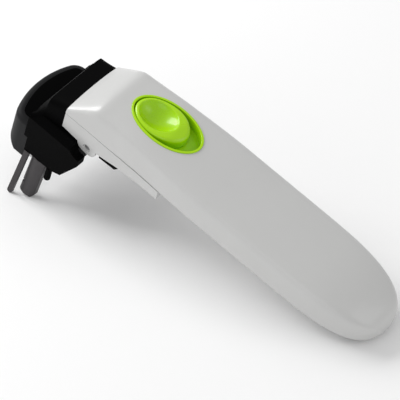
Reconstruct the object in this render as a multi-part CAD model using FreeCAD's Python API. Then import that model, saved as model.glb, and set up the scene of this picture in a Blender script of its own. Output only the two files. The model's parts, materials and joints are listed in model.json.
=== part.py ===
"""Cordless can opener: a hand-held wand with a tilting cutting head.

Built in the handle's own frame: X runs from the head to the tail, Z is up, Y = 0 is the mid plane,
and Z = 0 is the level of the handle's top edges.  The last step tips the tool until it stands on
its guide finger and its tail, and puts the origin under the middle of the whole tool.
"""
import FreeCAD, Part
import math
import os

V = FreeCAD.Vector

# ---- handle -------------------------------------------------------------------------------------
TAIL_X = 172.0            # rear end of the handle
GRIP_HALF_WIDTH = 22.0    # widest part of the grip
NECK_HALF_WIDTH = 19.3    # at the bend
GRIP_WIDEST_X = 64.0
NECK_FRONT_X = -14.7      # open front face of the neck
NECK_DROP = 13.5          # how far the neck slopes down before that face
CROWN = 2.6               # the top face's middle line at the well's front
EDGE_DROP = 1.8           # the top face falls this much from its middle line to its edges
RISE = 2.0                # the grip lies this much higher than the neck
DRAFT = 0.06              # the grip's sides lean in by this share of the depth
WALL = 2.2                # shell wall
SEAM_Z = -16.2            # parting plane of the shells
TAPER_X = 110.0           # where the grip starts to round off towards the tail
TIP_Z = -9.8              # level of the tail's tip
BEND_SOFTNESS = 2.2       # rounding where the neck meets the grip
UPPER_POWER = 9.0         # squareness of the section above its middle
LOWER_POWER = 2.3         # and below it
NECK_POWER = 2.9          # and below it where the walls of the neck go on down
SECTION_POINTS = 40
TAIL_STATIONS = 9
TAIL_CUT = 0.02           # the skin stops this angle short of the tip
NECK_BOTTOM_Z = -24.5
PAN_BOTTOM_Z = -21.8
DOOR_X = 46.0             # front edge of the battery door
SHELL_GAP = 0.25          # line between shells
LAND_Z = PAN_BOTTOM_Z + 0.35   # flat land along the door's belly

# ---- pivot of the head --------------------------------------------------------------------------
PIVOT_X = 1.3
PIVOT_Z = -28.7
EAR_RADIUS = 5.7
PIN_RADIUS = 2.0
PIN_CLEARANCE = 0.05
PIN_RECESS = 1.0          # the pin's end sits this deep in the ear

# ---- thumb slider -------------------------------------------------------------------------------
WELL_X = 29.6             # centre of the oval well
WELL_LENGTH = 41.0
WELL_WIDTH = 25.2
WELL_DEPTH = 3.6          # floor under the top face at its front
BEZEL_WALL = 1.3
BEZEL_PROUD = 0.5
SLIDER_LENGTH = 30.5
SLIDER_WIDTH = 21.2
SLIDER_HEIGHT = 6.0
SLIDER_TRAVEL = 6.0
SLIDER_GAP = 0.7          # between the slider and the front of the well
STEM_LENGTH = 8.0
STEM_WIDTH = 5.0

# ---- battery bay --------------------------------------------------------------------------------
CELL_RADIUS = 7.1
CELL_LENGTH = 48.5
CELL_GAP = 0.5
CONTACT = 1.8             # room for the contact springs at each end
BAY_WALL = 1.2

# ---- cutting head -------------------------------------------------------------------------------
HEAD_HALF_WIDTH = 24.0
HEAD_REAR_X = 2.0         # rear of the side wings
MIDDLE_REAR_X = -2.7      # rear of the block between the wings
WING_INNER_Y = 19.0
HEAD_FRONT_X = -31.0      # vertical front face of the collar
COLLAR_FOOT_Z = -37.3     # level of the black deck behind the nose rim
COLLAR_LIP_Z = -30.2      # front top edge of the collar
COLLAR_BROW_X = -25.0     # where the collar's top breaks and falls steeply to the front
COLLAR_BROW_Z = -14.8
SHOULDER_Z = -29.4        # top of the block beside the neck
RIDGE_Z = -32.3           # ridge along the block's side
HOUSING_FLOOR_Z = -55.0   # open underside of the housing
BASE_THICKNESS = 2.4
HEAD_WALL = 2.0
COLLAR_CLEARANCE = 0.45   # collar inside the neck
NOSE_X = -45.2            # front of the nose
NOSE_RADIUS = 50.0
NOSE_CORNER = 8.0
NOSE_TOP_Z = -37.8
NOSE_BOTTOM_Z = -63.3
NOSE_WALL = 3.6
NOSE_BACK_X = -28.9       # rear edge of the nose's side walls
NOSE_BACK_TOP_Z = -47.5

# ---- motor and gears ----------------------------------------------------------------------------
MOTOR_X = -12.2
MOTOR_RADIUS = 8.0
MOTOR_LENGTH = 21.0
MOTOR_SHAFT_RADIUS = 1.0
PLATE_TOP_Z = -44.0
PLATE_THICKNESS = 1.0
MODULE = 0.5
FINAL_MODULE = 0.6
MOTOR_TEETH = 12
WHEEL_TEETH = 36
PINION_TEETH = 12
DRIVE_TEETH = 26
GEAR_THICKNESS = 2.0
GEAR_GAP = 0.3
BACKLASH = 0.16
GEAR_PIN_RADIUS = 1.25
RUNNING_CLEARANCE = 0.05
LAY_ANGLE = 60.0          # direction of the second gear pin from the first, in degrees
DRIVE_X = -19.5
DRIVE_Y = -12.0
DRIVE_SHAFT_RADIUS = 2.0
DRIVE_TOP_RADIUS = 1.5    # above the drive gear
DRIVE_WHEEL_RADIUS = 6.0
DRIVE_WHEEL_TEETH = 36
DRIVE_WHEEL_LENGTH = 6.0
BUSH_WALL = 1.2
BUSH_FLANGE = 0.8

# ---- cutter and can guides ----------------------------------------------------------------------
CUTTER_X = -30.5
CUTTER_Y = -17.2
CUTTER_Z = -64.6
CUTTER_RADIUS = 6.5
CUTTER_THICKNESS = 1.2
CUTTER_AXLE_RADIUS = 1.5
BRACKET_THICKNESS = 1.6
GUIDE_THICKNESS = 1.7
GUIDE_PLATE_X = -19.6     # centre of the wide plate
GUIDE_PLATE_WIDTH = 8.8
GUIDE_PLATE_CURVE = 6.5   # radius that the wide plate is bent to
GUIDE_PLATE_LENGTH = 26.0
FINGER_X = -26.9
FINGER_WIDTH = 2.9
FINGER_LENGTH = 30.2
GUIDE_LEAN = 8.5          # degrees outward
FINGER_LEAN = 12.5
POST_X = -12.8
POST_RADIUS = 1.7
POST_LENGTH = 9.5
GUIDE_Y = -22.6           # inner face of the guides at the base

# ---- latch and screws ---------------------------------------------------------------------------
LATCH_TRAVEL = 2.5
LATCH_HALF_WIDTH = 18.6
LATCH_X0 = 9.0
LATCH_X1 = 21.0
SCREW_RADIUS = 1.2
SCREW_HEAD_RADIUS = 2.3
SCREW_HEAD_HEIGHT = 1.6

BIG = 400.0


# ==== small tools ================================================================================
def box(x0, x1, y0, y1, z0, z1):
    """Box between two corners."""
    return Part.makeBox(x1 - x0, y1 - y0, z1 - z0, V(x0, y0, z0))


def cyl_z(x, y, z0, z1, radius):
    """Upright cylinder."""
    return Part.makeCylinder(radius, z1 - z0, V(x, y, z0), V(0, 0, 1))


def cyl_y(x, z, y0, y1, radius):
    """Cylinder across the tool."""
    return Part.makeCylinder(radius, y1 - y0, V(x, y0, z), V(0, 1, 0))


def polygon_wire(points):
    """Closed wire of straight edges."""
    return Part.makePolygon(list(points) + [points[0]])


def side_prism(points, half_width):
    """Side outline (x, z) extruded across the tool, both ways from the mid plane."""
    wire = polygon_wire([V(x, -half_width, z) for x, z in points])
    return Part.Face(wire).extrude(V(0, 2 * half_width, 0))


def cross_prism(points, x0, x1):
    """Cross outline (y, z) extruded along the tool."""
    wire = polygon_wire([V(x0, y, z) for y, z in points])
    return Part.Face(wire).extrude(V(x1 - x0, 0, 0))


def oval(x, length, width, z0, z1):
    """Upright elliptic prism, long axis along the tool."""
    ellipse = Part.Ellipse(V(x, 0, z0), length / 2, width / 2)
    return Part.Face(Part.Wire([ellipse.toShape()])).extrude(V(0, 0, z1 - z0))


def union(shapes):
    """One solid out of touching or overlapping solids."""
    first = shapes[0]
    for other in shapes[1:]:
        first = first.fuse(other)
    return first.removeSplitter()


def spline(points):
    """Smooth edge through points."""
    curve = Part.BSplineCurve()
    curve.interpolate(points)
    return curve.toShape()


# ==== handle shells ==============================================================================
def tail_taper(x, inset, power, root):
    """Share of the full size left at x, where the grip rounds off towards its tail."""
    length = TAIL_X - inset - TAPER_X
    share = max(0.0, (x - TAPER_X) / length)
    return max(0.0, 1.0 - share ** power) ** (1.0 / root)


def half_width(x, inset):
    """Half the handle's width at x."""
    grip = GRIP_HALF_WIDTH - inset
    neck = NECK_HALF_WIDTH - inset
    share = min(1.0, max(0.0, x / GRIP_WIDEST_X))
    swell = share * share * (3.0 - 2.0 * share)
    return (neck + (grip - neck) * swell) * tail_taper(x, inset, 3.3, 2.6)


def settle(x):
    """Share of the grip's rise and draft reached at x."""
    share = min(1.0, max(0.0, (x + 6.0) / 36.0))
    return share * share * (3.0 - 2.0 * share)


def top_z(x, inset):
    """Level of the top face's middle line: the sloping neck, the bend, the grip, the tail."""
    slope = NECK_DROP / -NECK_FRONT_X
    ramp = CROWN - inset * 1.35 + slope * x
    level = CROWN - inset
    blend = BEND_SOFTNESS
    joined = 0.5 * (ramp + level - math.sqrt((ramp - level) ** 2 + blend * blend)) + 0.18 * blend
    high = min(joined, level) + RISE * settle(x)
    return TIP_Z + (high - TIP_Z) * tail_taper(x, inset, 3.4, 2.2)


def bottom_z(x, inset, low):
    """Level of the belly's middle line, for a belly that reaches down to the given level."""
    return TIP_Z - (TIP_Z - low - inset) * tail_taper(x, inset, 4.5, 2.2)


def section_points(x, inset, low):
    """Closed cross outline of the handle at x, from the belly's middle round: squarer above.

    Its waist, where the walls stand upright, is at the seam and rises to the tip at the tail.
    """
    top = top_z(x, inset)
    bottom = bottom_z(x, inset, low)
    wide = half_width(x, inset)
    level = SEAM_Z + RISE * settle(x)
    waist = TIP_Z + (level - TIP_Z) * tail_taper(x, inset, 4.5, 2.2)
    waist = min(waist, top - 3.0)
    lean_in = DRAFT * settle(x - 12) * tail_taper(x, inset, 3.0, 2.2)
    under = LOWER_POWER if low > NECK_BOTTOM_Z - 1 else NECK_POWER
    points = []
    for i in range(SECTION_POINTS + 1):
        angle = 2 * math.pi * i / SECTION_POINTS - math.pi / 2
        c, s = math.cos(angle), math.sin(angle)
        power = UPPER_POWER if s > 0 else under
        share = abs(c) ** (2 / power)
        high = top - waist - EDGE_DROP * share * share * tail_taper(x, inset, 3.0, 2.2) if s > 0 else waist - bottom
        z = waist + math.copysign(abs(s) ** (2 / power), s) * high
        points.append(V(x, math.copysign(share, c) * (wide - lean_in * (top - z)), z))
    points[-1] = points[0]
    return points


def stations(tip):
    """Places along the handle where its section is set: closer at the bend and at the tail."""
    front = NECK_FRONT_X - 2.6
    spots = [front + 2.6 * i for i in range(12)]
    step = spots[-1] - spots[-2]
    while spots[-1] + step < TAPER_X:
        spots.append(spots[-1] + step)
        step = min(step * 1.3, 9.0)
    spots.append(TAPER_X)
    start = math.asin(step / (tip - TAPER_X))
    turns = TAIL_STATIONS
    for i in range(turns):
        angle = start + (math.pi / 2 - start - TAIL_CUT) * i / (turns - 1)
        spots.append(TAPER_X + (tip - TAPER_X) * math.sin(angle))
    return spots


def handle_form(inset, low):
    """Outer form of the handle, drawn in by the inset: one smooth skin with flat ends."""
    grid = [section_points(x, inset, low) for x in stations(TAIL_X - inset)]
    skin = Part.BSplineSurface()
    skin.interpolate(grid)
    side = skin.toShape()
    u0, u1 = skin.bounds()[:2]
    ends = []
    for u in (u0, u1):
        rim = skin.uIso(u)
        across = Part.Plane(V(rim.StartPoint.x, 0, 0), V(1, 0, 0))
        ends.append(Part.Face(across, Part.Wire([rim.toShape()])))
    shell = Part.makeShell([side] + ends)
    shell.sewShape()
    solid = Part.Solid(shell)
    if solid.Volume < 0:
        solid.reverse()
    return solid


def lower_edge(offset):
    """Underside of the neck, front to back, as (x, z) points raised by the offset."""
    points = [(NECK_FRONT_X, -26.9), (-4.0, -28.6), (8.2, -26.7), (20.0, NECK_BOTTOM_Z),
              (DOOR_X - SHELL_GAP, NECK_BOTTOM_Z + 1.9)]
    return [(x, z + offset) for x, z in points]


def make_upper_shell():
    """Top half of the handle: crowned, open at the seam and at the neck's front."""
    skin = handle_form(0.0, PAN_BOTTOM_Z).cut(handle_form(WALL, PAN_BOTTOM_Z))
    shell = skin.common(box(NECK_FRONT_X, BIG, -BIG, BIG, SEAM_Z + SHELL_GAP / 2, BIG))
    shell = shell.cut(oval(WELL_X, WELL_LENGTH, WELL_WIDTH, -10, 20))
    core = handle_form(0.8, PAN_BOTTOM_Z)
    posts = []
    for x in CRADLE_SCREWS:
        posts.append(cyl_z(x, 0, CRADLE_TOP_Z, CROWN, POST_OUTER).common(core))
    for x, y in SHELL_SCREWS:
        posts.append(cyl_z(x, y, SEAM_Z + SHELL_GAP, CROWN, POST_OUTER).common(core))
    shell = union([shell] + posts)
    for x in CRADLE_SCREWS:
        shell = shell.cut(cyl_z(x, 0, CRADLE_TOP_Z - 1, CRADLE_TOP_Z + SCREW_BITE, SCREW_RADIUS))
    for x, y in SHELL_SCREWS:
        shell = shell.cut(cyl_z(x, y, SEAM_Z - 1, SEAM_Z + SHELL_GAP + SCREW_BITE, SCREW_RADIUS))
    return shell


def make_lower_shell():
    """Underside of the neck, with the ears that carry the head."""
    deep = NECK_BOTTOM_Z - 23.0
    outer = handle_form(0.0, deep)
    skin = outer.cut(handle_form(WALL, deep))
    edge = lower_edge(0.0)
    keep = [(NECK_FRONT_X, SEAM_Z - SHELL_GAP / 2)] + edge + [(edge[-1][0], SEAM_Z - SHELL_GAP / 2)]
    walls = skin.common(side_prism(keep, 40))
    floor_line = [(8.2, edge[2][1])] + edge[3:]
    floor = floor_line + [(x, z + WALL) for x, z in reversed(floor_line)]
    floor = side_prism(floor, 40).common(outer)
    back = box(edge[-1][0] - WALL, edge[-1][0], -40, 40, edge[-1][1] + 0.2, SEAM_Z - SHELL_GAP / 2)
    back = back.common(outer)
    ear = cyl_y(PIVOT_X, PIVOT_Z, -40, 40, EAR_RADIUS).common(outer)
    neck_side = box(PIVOT_X - EAR_RADIUS, PIVOT_X + EAR_RADIUS, -40, 40, PIVOT_Z, SEAM_Z - SHELL_GAP / 2)
    ear = ear.fuse(neck_side.common(outer)).cut(box(-40, 40, -EAR_INNER_Y, EAR_INNER_Y, -60, 0))
    posts = []
    for x, y in SHELL_SCREWS:
        tower = cyl_z(x, y, NECK_BOTTOM_Z - 1, SEAM_Z - SHELL_GAP, POST_OUTER)
        posts.append(tower.common(side_prism(keep, 40)).common(outer))
    for x in SWITCH_STANDS:
        for y in (-6.0, 6.0):
            posts.append(cyl_z(x, y, lower_level(x) + 1.0, SWITCH_TOP_Z - SWITCH_DEPTH, 1.5))
    shell = union([walls, floor, back, ear] + posts)
    for x, y in SHELL_SCREWS:
        shell = shell.cut(cyl_z(x, y, -40, 0, SCREW_RADIUS + 0.1))
        shell = shell.cut(cyl_z(x, y, -40, SHELL_SCREW_SEAT_Z, SCREW_HEAD_RADIUS + 0.2))
    for side in (-1, 1):
        mouth = [cyl_y(PIVOT_X, PIVOT_Z, -40, -PIN_OUTER_Y, PIN_RADIUS + 0.4),
                 cyl_y(PIVOT_X, PIVOT_Z, PIN_OUTER_Y, 40, PIN_RADIUS + 0.4)][side > 0]
        shell = shell.cut(mouth)
    shell = shell.cut(cyl_y(PIVOT_X, PIVOT_Z, -40, 40, PIN_RADIUS))
    slot = box(LATCH_STEM_X0 - 0.3, LATCH_STEM_X1 + LATCH_TRAVEL + 0.3, -LATCH_STEM_HALF - 0.2,
               LATCH_STEM_HALF + 0.2, -40, SEAM_Z)
    return shell.cut(slot)


def make_battery_door():
    """Sliding belly of the grip, down from the seam, all the way round the tail."""
    skin = handle_form(0.0, PAN_BOTTOM_Z).cut(handle_form(WALL, PAN_BOTTOM_Z))
    return skin.common(box(DOOR_X, BIG, -BIG, BIG, LAND_Z, SEAM_Z - SHELL_GAP / 2))


def make_bezel():
    """Oval well in the top face, with a slot in its floor for the slider's stem."""
    floor_z = CROWN - WELL_DEPTH
    cup = oval(WELL_X, WELL_LENGTH - 0.1, WELL_WIDTH - 0.1, floor_z - 1.4, 20)
    cup = cup.common(handle_form(-BEZEL_PROUD, PAN_BOTTOM_Z))
    inside = oval(WELL_X, WELL_LENGTH - 2 * BEZEL_WALL, WELL_WIDTH - 2 * BEZEL_WALL, floor_z, 20)
    slot = box(STEM_X - STEM_LENGTH / 2 - 0.4, STEM_X + STEM_LENGTH / 2 + SLIDER_TRAVEL + 0.4,
               -STEM_WIDTH / 2 - 0.3, STEM_WIDTH / 2 + 0.3, floor_z - 3, 20)
    return cup.cut(inside).cut(slot)


def make_thumb_slider():
    """Oval button with a thumb scoop in front and a raised heel, on a stem through the slot."""
    floor_z = CROWN - WELL_DEPTH + 0.2
    top = floor_z + SLIDER_HEIGHT
    body = oval(SLIDER_X, SLIDER_LENGTH, SLIDER_WIDTH, floor_z, top + 2)
    body = body.common(Part.makeSphere(SLIDER_DOME, V(SLIDER_X + HEEL_SHIFT, 0, top - SLIDER_DOME)))
    body = body.cut(Part.makeSphere(SCOOP_RADIUS, V(SLIDER_X - SCOOP_SHIFT, 0,
                                                    top - SCOOP_DEPTH + SCOOP_RADIUS)))
    stem = box(STEM_X - STEM_LENGTH / 2, STEM_X + STEM_LENGTH / 2, -STEM_WIDTH / 2, STEM_WIDTH / 2,
               SLIDER_FOOT_Z, floor_z + 0.5)
    return union([body, stem])


def make_slider_carrier():
    """Plate under the well that holds the slider down and works the switch."""
    top = CROWN - WELL_DEPTH - 1.4 - 0.15
    plate = box(STEM_X - 7.5, STEM_X + 7.5, -7.0, 7.0, top - 1.6, top)
    fork = []
    for side in (-1, 1):
        x = STEM_X + side * (SWITCH_KNOB / 2 + 0.8 + 0.1)
        fork.append(box(x - 0.8, x + 0.8, -5.0, 5.0, SWITCH_TOP_Z + 0.15, top - 1.5))
    window = box(STEM_X - STEM_LENGTH / 2, STEM_X + STEM_LENGTH / 2, -STEM_WIDTH / 2, STEM_WIDTH / 2,
                 SLIDER_FOOT_Z, top + 1)
    return union([plate] + fork).cut(window)


def make_slide_switch():
    """Fixed slide switch on its board under the well."""
    top = SWITCH_TOP_Z
    low = top - SWITCH_DEPTH
    can = box(STEM_X - 7.0, STEM_X + 14.0, -5.0, 5.0, low + 1.6, top)
    board = box(STEM_X - 8.0, STEM_X + 18.0, -8.0, 8.0, low, low + 1.6)
    slot = box(STEM_X - 2.5, STEM_X + SLIDER_TRAVEL + 2.5, -1.6, 1.6, top - 2.0, top + 1)
    return union([can, board]).cut(slot)


def make_switch_knob():
    """The switch's own lever, moved by the carrier's fork."""
    top = SWITCH_TOP_Z
    return box(STEM_X - SWITCH_KNOB / 2, STEM_X + SWITCH_KNOB / 2, -1.5, 1.5, top - 1.9, top + 1.8)


def make_cells():
    """Four cells in two rows."""
    cells = []
    for side in (-1, 1):
        for n in range(2):
            x0 = CELL_X0 + n * (CELL_LENGTH + 0.2)
            y = side * (CELL_RADIUS + CELL_GAP / 2)
            can = Part.makeCylinder(CELL_RADIUS, CELL_LENGTH - 1.3, V(x0, y, CELL_Z), V(1, 0, 0))
            nub = Part.makeCylinder(2.6, 1.3, V(x0 + CELL_LENGTH - 1.3, y, CELL_Z), V(1, 0, 0))
            cells.append(can.fuse(nub))
    return Part.makeCompound(cells)


def make_cradle():
    """Tray that holds the cells, open below."""
    half = 2 * CELL_RADIUS + CELL_GAP / 2 + 0.3
    x0 = CELL_X0 - CONTACT
    x1 = CELL_X1 + CONTACT
    low = CELL_Z - 2.0
    tray = box(x0 - BAY_WALL, x1 + BAY_WALL, -half - BAY_WALL, half + BAY_WALL, low, CRADLE_TOP_Z)
    tray = tray.cut(box(x0, x1, -half, half, low - 1, CRADLE_TOP_Z - BAY_WALL))
    tray = tray.common(handle_form(WALL + 0.25, PAN_BOTTOM_Z))
    for x in CRADLE_SCREWS:
        tray = tray.cut(cyl_z(x, 0, -20, 10, SCREW_RADIUS + 0.1))
    return tray


def make_front_contacts():
    """Two contact plates at the head end of the bay."""
    x = CELL_X0 - CONTACT
    y = CELL_RADIUS + CELL_GAP / 2
    plates = []
    for side in (-1, 1):
        plate = box(x + 0.05, x + 0.55, side * y - 4.5, side * y + 4.5, CELL_Z - 1.5, CELL_Z + 5.5)
        button = Part.makeCylinder(2.4, CONTACT - 0.6, V(x + 0.5, side * y, CELL_Z + 1.0), V(1, 0, 0))
        plates.append(plate.fuse(button))
    return Part.makeCompound(plates)


def make_rear_contact():
    """One plate that joins the two rows at the tail end."""
    x = CELL_X1 + CONTACT
    y = CELL_RADIUS + CELL_GAP / 2
    plate = box(x - 0.55, x - 0.05, -y - 4.5, y + 4.5, CELL_Z - 1.5, CELL_Z + 5.5)
    for side in (-1, 1):
        button = Part.makeCylinder(2.4, CONTACT - 0.6, V(x - 0.5, side * y, CELL_Z + 1.0), V(-1, 0, 0))
        plate = plate.fuse(button)
    return plate


def screw_up(x, y, seat_z, length, radius=SCREW_RADIUS, head=SCREW_HEAD_RADIUS):
    """Screw driven upwards, with its head under the seat and a cross recess."""
    height = SCREW_HEAD_HEIGHT * head / SCREW_HEAD_RADIUS
    shank = cyl_z(x, y, seat_z - 0.3, seat_z + length, radius)
    cap = cyl_z(x, y, seat_z - height, seat_z, head)
    cross = box(x - head * 0.6, x + head * 0.6, y - 0.3, y + 0.3, seat_z - height - 1, seat_z - height + 0.7)
    cross = cross.fuse(box(x - 0.3, x + 0.3, y - head * 0.6, y + head * 0.6, seat_z - height - 1,
                           seat_z - height + 0.7))
    return shank.fuse(cap).cut(cross)


def make_pivot_pins():
    """Two steel pins on which the head tilts."""
    pins = []
    for side in (-1, 1):
        y0, y1 = sorted((side * PIN_INNER_Y, side * PIN_OUTER_Y))
        pins.append(cyl_y(PIVOT_X, PIVOT_Z, y0, y1, PIN_RADIUS))
    return Part.makeCompound(pins)


def make_release_latch():
    """Bar across the neck's underside, on a stem with a shoe inside the floor."""
    low = LATCH_BAR_Z
    bar = side_prism([(LATCH_X0, lower_level(LATCH_X0) - 0.2), (LATCH_X1, lower_level(LATCH_X1) - 0.2),
                      (LATCH_X1, lower_level(LATCH_X1) - 1.2), (LATCH_X1 - 2.0, low + 0.6),
                      (LATCH_X0, low)], LATCH_HALF_WIDTH)
    stem_top = lower_level(20.0) + WALL + 0.15
    stem = box(LATCH_STEM_X0, LATCH_STEM_X1, -LATCH_STEM_HALF, LATCH_STEM_HALF, low + 1.0, stem_top)
    shoe = box(LATCH_STEM_X0 - 2.0, LATCH_STEM_X1 + 2.0, -LATCH_STEM_HALF - 1.5, LATCH_STEM_HALF + 1.5,
               stem_top, stem_top + 1.2)
    return union([bar, stem, shoe])


def lower_level(x):
    """Level of the neck's underside at x, behind the ears."""
    edge = lower_edge(0.0)[2:]
    for (xa, za), (xb, zb) in zip(edge, edge[1:]):
        if x <= xb:
            return za + (zb - za) * (x - xa) / (xb - xa)
    return edge[-1][1]


# ==== cutting head ===============================================================================
def nose_form(inset, z0, z1, back_x):
    """D-shaped prism: shallow arc in front, round corners, straight sides."""
    half = HEAD_HALF_WIDTH - inset
    radius = NOSE_RADIUS - inset
    arc_body = cyl_z(NOSE_X + NOSE_RADIUS, 0, z0, z1, radius)
    body = arc_body.common(box(NOSE_X - 5, back_x, -half, half, z0, z1))
    corners = [e for e in body.Edges
               if e.BoundBox.ZLength > (z1 - z0) * 0.99 and e.BoundBox.XMax < back_x - 1]
    return body.makeFillet(max(NOSE_CORNER - inset, 0.5), corners)


def block_side(offset):
    """Side outline of the head's block, drawn in by the offset, down to the housing's floor."""
    rear = HEAD_REAR_X - offset
    return [(HEAD_FRONT_X, SHOULDER_Z), (rear, SHOULDER_Z), (rear, -39.5),
            (rear - 6.9, HOUSING_FLOOR_Z + 1.6), (rear - 7.7, HOUSING_FLOOR_Z), (HEAD_FRONT_X, HOUSING_FLOOR_Z)]


def collar_form(inset):
    """Sloping top of the head between the neck and the front face, widening forwards."""
    wires = []
    for x, top, wide in ((COLLAR_BACK_X, COLLAR_BACK_TOP, NECK_HALF_WIDTH - 0.1),
                         (COLLAR_BROW_X + inset * 0.4, COLLAR_BROW_Z, NECK_HALF_WIDTH + 0.8),
                         (HEAD_FRONT_X + inset, COLLAR_LIP_Z, HEAD_HALF_WIDTH - 0.3)):
        waist = RIDGE_Z - 1.0
        high = top - inset * 1.4 - waist
        half = wide - inset
        points = []
        for i in range(SECTION_POINTS // 2 + 1):
            angle = math.pi * i / (SECTION_POINTS // 2)
            c, s = math.cos(angle), math.sin(angle)
            y = math.copysign(abs(c) ** (2 / COLLAR_POWER), c) * half
            points.append(V(x, y, waist + max(high, 0.4) * abs(s) ** (2 / COLLAR_POWER)))
        low = Part.LineSegment(points[-1], points[0]).toShape()
        wires.append(Part.Wire([spline(points), low]))
    return Part.makeLoft(wires, True, True)


def make_head_housing():
    """Black body of the head: collar, shoulders, front deck and the bay for motor and gears."""
    half = HEAD_HALF_WIDTH
    shoulders = [(-half, HOUSING_FLOOR_Z), (-half, RIDGE_Z), (-half + 4, SHOULDER_Z),
                 (half - 4, SHOULDER_Z), (half, RIDGE_Z), (half, HOUSING_FLOOR_Z)]
    block = cross_prism(shoulders, HEAD_FRONT_X, HEAD_REAR_X).common(side_prism(block_side(0), 40))
    block = block.cut(box(MIDDLE_REAR_X, 40, -WING_INNER_Y, WING_INNER_Y, -90, 0))
    deck = nose_form(NOSE_WALL + 0.1, HOUSING_FLOOR_Z, COLLAR_FOOT_Z, HEAD_FRONT_X + 1.0)
    visor = cyl_y(PIVOT_X, PIVOT_Z, -COLLAR_HALF_WIDTH, COLLAR_HALF_WIDTH, VISOR_RADIUS)
    visor = visor.common(box(COLLAR_BACK_X - 2.0, VISOR_BACK_X, -40, 40, SHOULDER_Z - 1, 20))
    visor = visor.common(handle_form(WALL + COLLAR_CLEARANCE, NECK_BOTTOM_Z - 23.0))
    lugs = []
    for side in (-1, 1):
        y0, y1 = sorted((side * PIN_INNER_Y, side * COLLAR_HALF_WIDTH))
        lugs.append(cyl_y(PIVOT_X, PIVOT_Z, y0, y1, LUG_RADIUS))
        lugs.append(box(MIDDLE_REAR_X - 2.0, PIVOT_X, y0, y1, PIVOT_Z - LUG_RADIUS, PIVOT_Z + LUG_RADIUS))
    body = union([block, deck, collar_form(0.0), visor])
    for side in (-1, 1):
        y0, y1 = sorted((side * COLLAR_HALF_WIDTH, side * 40.0))
        body = body.cut(cyl_y(PIVOT_X, PIVOT_Z, y0, y1, EAR_RADIUS + EAR_CLEARANCE))
    nose_slot = box(NOSE_X - 5, NOSE_BACK_X + 0.1, -40, 40, HOUSING_FLOOR_Z - 1, NOSE_BACK_TOP_Z + 0.1)
    inner = box(HEAD_FRONT_X - 20, NOSE_BACK_X + 2, -half + NOSE_WALL + 0.1, half - NOSE_WALL - 0.1, -80, 0)
    body = body.cut(nose_slot.cut(inner)).cut(head_bay())
    bore = cyl_y(PIVOT_X, PIVOT_Z, -40, 40, PIN_RADIUS + PIN_CLEARANCE)
    return union([body] + lugs).cut(bore)


def head_bay():
    """Room inside the head: gear case below the motor plate, motor room above it."""
    wall = HEAD_WALL
    half = HEAD_HALF_WIDTH - wall
    case_x = NOSE_BACK_X + wall
    rear = MIDDLE_REAR_X - REAR_WALL
    case = side_prism([(case_x, PLATE_TOP_Z), (rear, PLATE_TOP_Z), (rear, PLATE_TOP_Z - 3.5),
                       (rear - 2.5, HOUSING_FLOOR_Z - 0.1), (case_x, HOUSING_FLOOR_Z - 0.1)], half)
    front = nose_form(NOSE_WALL + 0.1 + wall, HOUSING_FLOOR_Z - 0.1, PLATE_TOP_Z, case_x + 1)
    motor = cyl_z(MOTOR_X, 0, PLATE_TOP_Z - 0.1, MOTOR_TOP_Z + 0.3, MOTOR_RADIUS + 0.3)
    room = box(HEAD_FRONT_X + wall, rear, -COLLAR_HALF_WIDTH + wall, COLLAR_HALF_WIDTH - wall,
               PLATE_TOP_Z - 0.1, 0)
    roof = collar_form(wall).fuse(cyl_y(PIVOT_X, PIVOT_Z, -40, 40, VISOR_RADIUS - wall))
    above = box(HEAD_FRONT_X, rear, -40, 40, -80, SHOULDER_Z - wall)
    room = room.common(roof.fuse(above))
    bay = case.fuse(front).fuse(motor).fuse(room)
    posts = []
    for x, y in HEAD_SCREWS:
        posts.append(cyl_z(x, y, HOUSING_FLOOR_Z, PLATE_TOP_Z - PLATE_THICKNESS, HEAD_POST))
    bay = bay.cut(Part.makeCompound(posts))
    for x, y in HEAD_SCREWS:
        bay = bay.fuse(cyl_z(x, y, HOUSING_FLOOR_Z - 0.1, HOUSING_FLOOR_Z + SCREW_BITE, SCREW_RADIUS))
    return bay


def make_base_plate():
    """Black plate that closes the head from below and carries the drive shaft and the cutter."""
    low = HOUSING_FLOOR_Z - BASE_THICKNESS
    rear = HEAD_REAR_X - 7.7
    outline = side_prism([(NOSE_BACK_X + 0.15, HOUSING_FLOOR_Z), (rear, HOUSING_FLOOR_Z),
                          (rear - 6.0, low), (NOSE_BACK_X + 0.15, low)], HEAD_HALF_WIDTH)
    front = nose_form(NOSE_WALL + 0.1, low, HOUSING_FLOOR_Z, NOSE_BACK_X + 1.0)
    plate = union([outline, front])
    plate = plate.cut(cyl_z(DRIVE_X, DRIVE_Y, low - 1, HOUSING_FLOOR_Z + 1, BUSH_OUTER))
    for x, y in HEAD_SCREWS:
        plate = plate.cut(cyl_z(x, y, low - 1, HOUSING_FLOOR_Z + 1, SCREW_RADIUS + 0.1))
    for x, y in pin_places():
        plate = plate.cut(cyl_z(x, y, HOUSING_FLOOR_Z - PIN_SEAT, HOUSING_FLOOR_Z + 1, GEAR_PIN_RADIUS))
    for x, y in GUIDE_SCREWS:
        plate = plate.cut(cyl_z(x, y, low - 1, low + GUIDE_BITE, GUIDE_SCREW_RADIUS))
    return plate.cut(cyl_z(POST_X, GUIDE_Y, low - 1, low + 1.6, POST_RADIUS * 0.7))


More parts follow.
